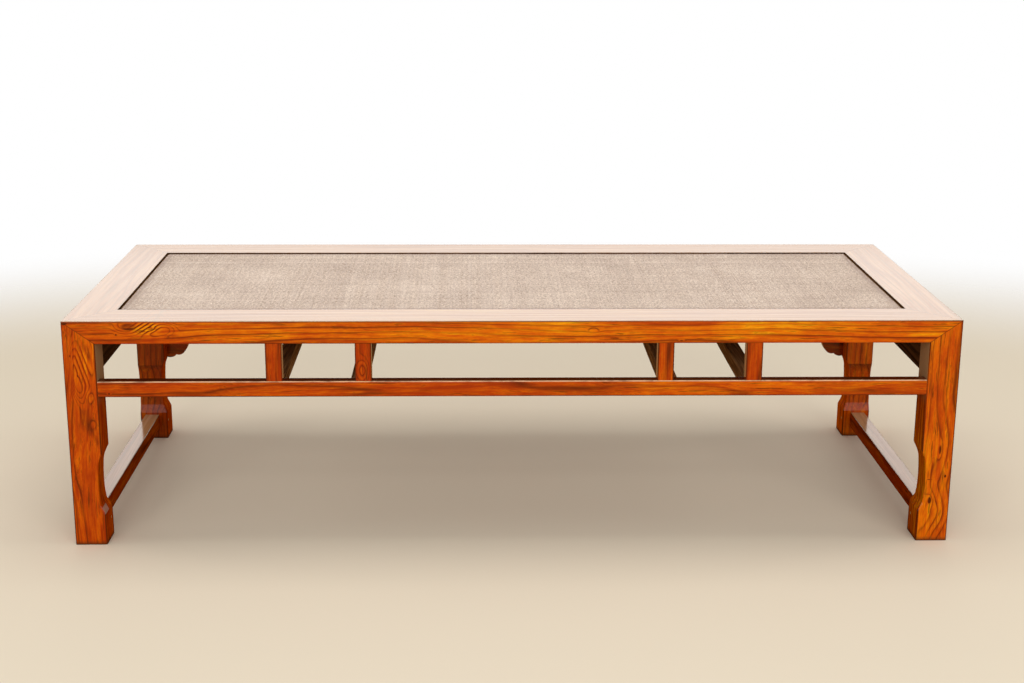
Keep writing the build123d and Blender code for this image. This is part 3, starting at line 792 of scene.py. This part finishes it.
# %% Lacquered elm: every member
grain_of = {"rail": "x", "stretcher": "x", "leg": "z", "strut": "z", "board": "y", "bracket": "x"}
end_members = ("left_end_rail", "right_end_rail", "left_side", "right_side")     # they run from front to back
usual_crook = 0.04
crook_of = {"front_left_leg": 0.09, "front_right_leg": 0.05, "front_rail": 0.03, "front_stretcher": 0.06}
usual_tones = (-1.45, -1.45)
# The back left leg's darker tones are painted shade, for its place under the top.
tones_of = {
    "front_rail": (-1.45, -1.32), "front_stretcher": (-1.73, -1.52), "front_left_leg": (-1.77, -1.53),
    "front_right_leg": (-1.52, -1.43), "back_left_leg": (-1.67, -1.67), "back_right_leg": (-1.53, -1.53),
    "back_left_bracket": (-1.75, -1.75), "back_right_bracket": (-1.75, -1.75),
    "left_side_stretcher": (-1.65, -1.65), "right_side_stretcher": (-1.65, -1.65),
    "front_strut_1": (-1.83, -1.83), "front_strut_2": (-1.81, -1.81), "front_strut_3": (-1.79, -1.79),
    "front_strut_4": (-1.77, -1.77)}
lacquered = [node for node, slot in slot_of.items() if slot == "lacquered_elm"]
for number, node in enumerate(lacquered):
    grain = grain_of[node.rstrip("_1234").split("_")[-1]]
    if node.startswith(end_members):
        grain = "y"
    offset = (0.61 * number, PITH + 0.011 * (number % 3), 0.035 + 0.014 * (number % 4))
    tones = tones_of.get(node, usual_tones)
    lacquered_elm(node, grain, offset, crook_of.get(node, usual_crook), tones, knots_of.get(node, ()))
print("lacquered members:", len(lacquered))

# %% [markdown]
# ## The bare elm
#
# What nobody sees was left as it came from the plane: the bars under the top, the boards and
# the battens. In a house heated by a stove such wood goes brown-black. It has no coat, so it
# is matt, and the same log gives it its streaks, 6 mm wide.

# %% Bare elm
BARE_FIGURE = {"streak": (4.0, 160.0, 4.0, 0.65)}
BARE_COLOURS = [(0.3, linear("#4A301A")), (0.5, linear("#86603A")), (0.62, linear("#A47C50")),
                (0.78, linear("#C4A278"))]


def bare_elm(node, grain, offset):
    """Old unfinished elm, dark and dry."""
    material, tree = new_material("bare_elm_" + node)
    place = add(tree, "ShaderNodeTexCoord").outputs["Object"]
    log = elm_log(tree, place, node, grain, offset, 0.05)
    streak = figure_layers(tree, log, BARE_FIGURE)["streak"]
    wood = add(tree, "ShaderNodeValToRGB", {0: streak}, stops=BARE_COLOURS)
    relief = add(tree, "ShaderNodeBump", {"Height": streak, "Strength": 0.35, "Distance": 0.0012})
    shader = add(tree, "ShaderNodeBsdfPrincipled", {
        "Base Color": wood, "Roughness": 0.75, "Specular IOR Level": 0.0, "Normal": relief})
    add(tree, "ShaderNodeOutputMaterial", {"Surface": shader})
    nodes[node].material_slots[0].material = material


bare_grain = {"cross": "y", "top": "x", "batten": "y"}
bare = [node for node, slot in slot_of.items() if slot == "bare_elm"]
for number, node in enumerate(bare):
    bare_elm(node, bare_grain[node.split("_")[0]], (0.43 * number, PITH, 0.05 + 0.012 * number))
print("bare members:", len(bare))

# %% [markdown]
# ## Bamboo pegs
#
# The pegs through the tenons are split from bamboo. On the hidden faces of the legs only their
# ends show, as pale discs with the dots of cut fibres.

# %% Bamboo pegs
FIBRE_BUNDLE = 0.0007      # metres across a bundle of bamboo fibres

material, tree = new_material("split_bamboo")
place = add(tree, "ShaderNodeTexCoord").outputs["Object"]
dots = add(tree, "ShaderNodeTexVoronoi", {"Vector": place, "Scale": round(1 / FIBRE_BUNDLE, -2)})
tint = add(tree, "ShaderNodeValToRGB", {0: dots}, stops=[
    (0.15, linear("#6B4423")), (0.45, linear("#A87C47"))])
shader = add(tree, "ShaderNodeBsdfPrincipled", {"Base Color": tint, "Roughness": 0.5})
add(tree, "ShaderNodeOutputMaterial", {"Surface": shader})
nodes["joint_pegs"].material_slots[0].material = material
print("fibre bundles in a metre:", round(1 / FIBRE_BUNDLE, -2))

# %% [markdown]
# ## The woven mat
#
# The mat is twilled from flat strips of split rattan. Each strip goes over two and under two, and
# the next one is set off by one, so the floats climb in diagonals. Turning the diagonals round
# at regular distances makes nested diamonds. The rule is simple and repeats tens of thousands
# of times, which is what Geometry Nodes are for. One tree with named inputs serves both directions.

# %% Woven mat: the tree and its inputs
twill = bpy.data.node_groups.new("twilled_strips", "GeometryNodeTree")
for label, kind in (("Strips", "Int"), ("First Strip", "Int"), ("Crossings", "Int"), ("Start", "Vector"),
                    ("Along", "Vector"), ("Aside", "Vector"), ("Width", "Float"), ("Thickness", "Float"),
                    ("Rise", "Float"), ("Diamond", "Float"), ("Shift", "Float"), ("Seed", "Int"),
                    ("Material", "Material")):
    twill.interface.new_socket(label, in_out="INPUT", socket_type="NodeSocket" + kind)
twill.interface.new_socket("Mesh", in_out="OUTPUT", socket_type="NodeSocketGeometry")
given = add(twill, "NodeGroupInput").outputs
print("inputs of the weave:", len(given) - 1)

# %% [markdown]
# One strip is a line with a point at every crossing, and its copies lie side by side. Realize
# Instances makes the copies real points, which the next nodes can move.

# %% Woven mat: strips side by side
strip = add(twill, "GeometryNodeMeshLine", {"Count": given["Crossings"], "Offset": given["Along"]})
strip = add(twill, "GeometryNodeMeshToCurve", {"Mesh": strip})
row = add(twill, "GeometryNodeMeshLine", {
    "Count": given["Strips"], "Start Location": given["Start"], "Offset": given["Aside"]})
strips = add(twill, "GeometryNodeInstanceOnPoints", {"Points": row, "Instance": strip})
strips = add(twill, "GeometryNodeRealizeInstances", {"Geometry": strips})
print("nodes so far:", len(twill.nodes))

# %% [markdown]
# The twill rule works on the numbers of the two strips that cross. Their sum counts diagonals, and
# its remainder by four says whether this strip is over or under. Ping-pong turns the count round
# at regular distances, which makes the diamonds. Over and under lift or lower the point.

# %% Woven mat: the twill rule
REPEAT = 4.0      # over two and under two
index = add(twill, "GeometryNodeInputIndex")
other = add(twill, MATH, {0: index, 1: given["Crossings"]}, operation="FLOORED_MODULO")
own = index
for operation, value in (
        ("ADD", 0.5), ("DIVIDE", given["Crossings"]), ("FLOOR", 0.0), ("ADD", given["First Strip"])):
    own = add(twill, MATH, {0: own, 1: value}, operation=operation)
folded = add(twill, MATH, {0: other, 1: given["Diamond"]}, operation="PINGPONG")
height = own
for operation, value in (
        ("PINGPONG", given["Diamond"]), ("ADD", folded), ("ADD", given["Shift"]), ("FLOORED_MODULO", REPEAT),
        ("LESS_THAN", REPEAT / 2 - 0.5), ("MULTIPLY", 2.0), ("SUBTRACT", 1.0), ("MULTIPLY", given["Rise"])):
    height = add(twill, MATH, {0: height, 1: value}, operation=operation)
lift = add(twill, "ShaderNodeCombineXYZ", {"Z": height})
strips = add(twill, "GeometryNodeSetPosition", {"Geometry": strips, "Offset": lift})
print("nodes so far:", len(twill.nodes))

# %% [markdown]
# A knife splits rattan into a flat strip with a low ridge, so the section is a flat triangle. It
# is swept along each strip. Curve to Mesh lays the section's own X sideways and its Y downwards
# here, so it is turned by a quarter first, or the strips would stand on edge. Split by hand, no
# two strips have the same colour, so each strip also carries a random shade for its material.

# %% Woven mat: section and shade of the strips
shade = add(twill, "FunctionNodeRandomValue", {"ID": own, "Seed": given["Seed"]}, data_type="FLOAT")
strips = add(twill, "GeometryNodeStoreNamedAttribute", {
    "Geometry": strips, "Name": "strip_shade", "Value": shade}, data_type="FLOAT", domain="POINT")
ring = add(twill, "GeometryNodeCurvePrimitiveCircle", {"Resolution": 3, "Radius": 1.0}, mode="RADIUS")
# A triangle in a circle of radius 1 is 1.5 high and 1.732 wide.
thick = add(twill, MATH, {0: given["Thickness"], 1: 1.5}, operation="DIVIDE")
wide = add(twill, MATH, {0: given["Width"], 1: 1.732}, operation="DIVIDE")
size = add(twill, "ShaderNodeCombineXYZ", {"X": thick, "Y": wide, "Z": 1.0})
ring = add(twill, "GeometryNodeTransform", {
    "Geometry": ring, "Rotation": (0.0, 0.0, radians(-90)), "Scale": size})
strips = add(twill, "GeometryNodeSetCurveNormal", {"Curve": strips}, mode="Z_UP")
woven = add(twill, "GeometryNodeCurveToMesh", {"Curve": strips, "Profile Curve": ring, "Fill Caps": True})
woven = add(twill, "GeometryNodeSetShadeSmooth", {"Geometry": woven, "Shade Smooth": False})
woven = add(twill, "GeometryNodeRealizeInstances", {"Geometry": woven})
woven = add(twill, "GeometryNodeSetMaterial", {"Geometry": woven, "Material": given["Material"]})
add(twill, "NodeGroupOutput", {"Mesh": woven})
print("weaving nodes:", len(twill.nodes))

# %% [markdown]
# Split rattan is matt and pale, a little pink with age. Each strip has its own shade, its fibres
# speckle it, and broad soft clouds show where the mat was used more. Dirt has gathered along its
# edges, in the grain of the weave. The specks are 3 mm apart, coarser than rattan's own pores of
# half a millimetre, so that they show.

# %% Woven mat: colour of the rattan
CLOUDS = 7.0        # in a metre
SPECKS = 330.0
RATTAN = [(0.45, linear("#967C68")), (0.7, linear("#BCA390")), (0.85, linear("#D0B9A4")),
          (1.0, linear("#E6D3C0"))]

rattan, tree = new_material("split_rattan")
place = add(tree, "ShaderNodeTexCoord").outputs["Object"]
shade = add(tree, "ShaderNodeAttribute", attribute_name="strip_shade").outputs["Fac"]
cloud = add(tree, "ShaderNodeTexNoise", {"Vector": place, "Scale": CLOUDS, "Detail": 2.0, "Roughness": 0.5})
speck = add(tree, "ShaderNodeTexNoise", {"Vector": place, "Scale": SPECKS, "Detail": 2.0, "Roughness": 0.7})
tone = -0.165
for layer, share in ((shade, 0.2), (cloud, 0.3), (speck, 1.4)):
    tone = add(tree, MATH, {0: layer, 1: share, 2: tone}, operation="MULTIPLY_ADD")
tint = add(tree, "ShaderNodeValToRGB", {0: tone}, stops=RATTAN)
print("colours of the rattan:", len(RATTAN))

# %% Woven mat: dirt along its edges, and its finish
mat_low, mat_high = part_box("mat")
edge = add(tree, VECTOR_MATH, {0: place}, operation="ABSOLUTE")
edge = add(tree, VECTOR_MATH, {0: edge, 1: mat_high}, operation="SUBTRACT")
x, y, z = add(tree, SPLIT, {0: edge}).outputs
edge = add(tree, MATH, {0: x, 1: y}, operation="MAXIMUM")
beside = add(tree, MAP_RANGE, {0: edge, 1: -0.022, 2: -0.001, 4: 0.75}, **SOFT)
speckled = add(tree, MAP_RANGE, {0: speck, 1: 0.47, 2: 0.56}, **SOFT)
dirt = add(tree, MATH, {0: beside, 1: speckled}, operation="MULTIPLY")
tint = add(tree, MIX, {0: dirt, 6: tint, 7: linear("#6E4434")}, data_type="RGBA")
shader = add(tree, "ShaderNodeBsdfPrincipled", {"Base Color": tint, "Roughness": 0.4, "IOR": 1.55})
add(tree, "ShaderNodeOutputMaterial", {"Surface": shader})
print("mat in metres:", [round(v, 3) for v in mat_high - mat_low])

# %% [markdown]
# The strips nearly touch, so only thin dark lines part them. The sizes are those of real split
# rattan for mats, and from them follows how many strips the mat needs.

# %% Woven mat: sizes and numbers of strips
PITCH = 0.0028             # from strip to strip
STRIP_WIDTH = 0.00275
STRIP_THICKNESS = 0.0008
RISE = 0.0004              # a strip goes this far above or below the middle of the mat
DIAMOND = 30.0             # strips from one turn of the diagonals to the next
GROUPS = 4                 # the strips of each direction make four pieces of a handy size
mat_middle = mat_high.z - RISE - STRIP_THICKNESS * 2 / 3
across_count = int((mat_high.x - mat_low.x) / PITCH)
along_count = int((mat_high.y - mat_low.y) / PITCH)
first_x = (mat_low.x + mat_high.x - (across_count - 1) * PITCH) / 2
first_y = (mat_low.y + mat_high.y - (along_count - 1) * PITCH) / 2
print("strips:", across_count, "and", along_count)

# %% [markdown]
# A modifier's input is set by the identifier of its socket, and all are set before the holder is
# first evaluated. The result is copied as a plain mesh, and the holder goes with its modifier.

# %% Woven mat: weaving one group of strips


def weave(name, first, count, crossings, along, aside, shift):
    """Weave one group of whole strips and return it as a plain mesh object."""
    start = Vector((first_x, first_y, mat_middle)) + aside * PITCH * first
    values = {"Strips": count, "First Strip": first, "Crossings": crossings, "Start": start,
              "Along": along * PITCH, "Aside": aside * PITCH, "Width": STRIP_WIDTH,
              "Thickness": STRIP_THICKNESS, "Rise": RISE, "Diamond": DIAMOND, "Shift": shift, "Seed": 7,
              "Material": rattan}
    holder = bpy.data.objects.new(name + "_holder", bpy.data.meshes.new(name + "_holder"))
    scene.collection.objects.link(holder)
    modifier = holder.modifiers.new("weave", "NODES")
    modifier.node_group = twill
    for socket in twill.interface.items_tree:
        if socket.in_out == "INPUT":
            modifier[socket.identifier] = values[socket.name]
    evaluated = holder.evaluated_get(bpy.context.evaluated_depsgraph_get())
    mesh = bpy.data.meshes.new_from_object(evaluated)
    bpy.data.objects.remove(holder)
    piece = bpy.data.objects.new(name, mesh)
    scene.collection.objects.link(piece)
    return piece


def shares(total):
    """Split a number of strips into groups, as (first, count) pairs."""
    marks = [round(total * i / GROUPS) for i in range(GROUPS + 1)]
    return [(marks[i], marks[i + 1] - marks[i]) for i in range(GROUPS)]


print("groups of crosswise strips:", shares(across_count))

# %% Woven mat: weaving it all
x_axis = Vector((1, 0, 0))
y_axis = Vector((0, 1, 0))
half_repeat = REPEAT / 2      # the second direction is under where the first is over
mat_pieces = []
for number, (first, count) in enumerate(shares(across_count), 1):
    name = f"mat_crosswise_strips_{number}"
    mat_pieces.append(weave(name, first, count, along_count, y_axis, x_axis, 0.0))
for number, (first, count) in enumerate(shares(along_count), 1):
    name = f"mat_lengthwise_strips_{number}"
    mat_pieces.append(weave(name, first, count, across_count, x_axis, y_axis, half_repeat))
for piece in mat_pieces:
    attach(piece, "root")
    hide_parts("mat")
print("faces of the mat:", sum(len(piece.data.polygons) for piece in mat_pieces))
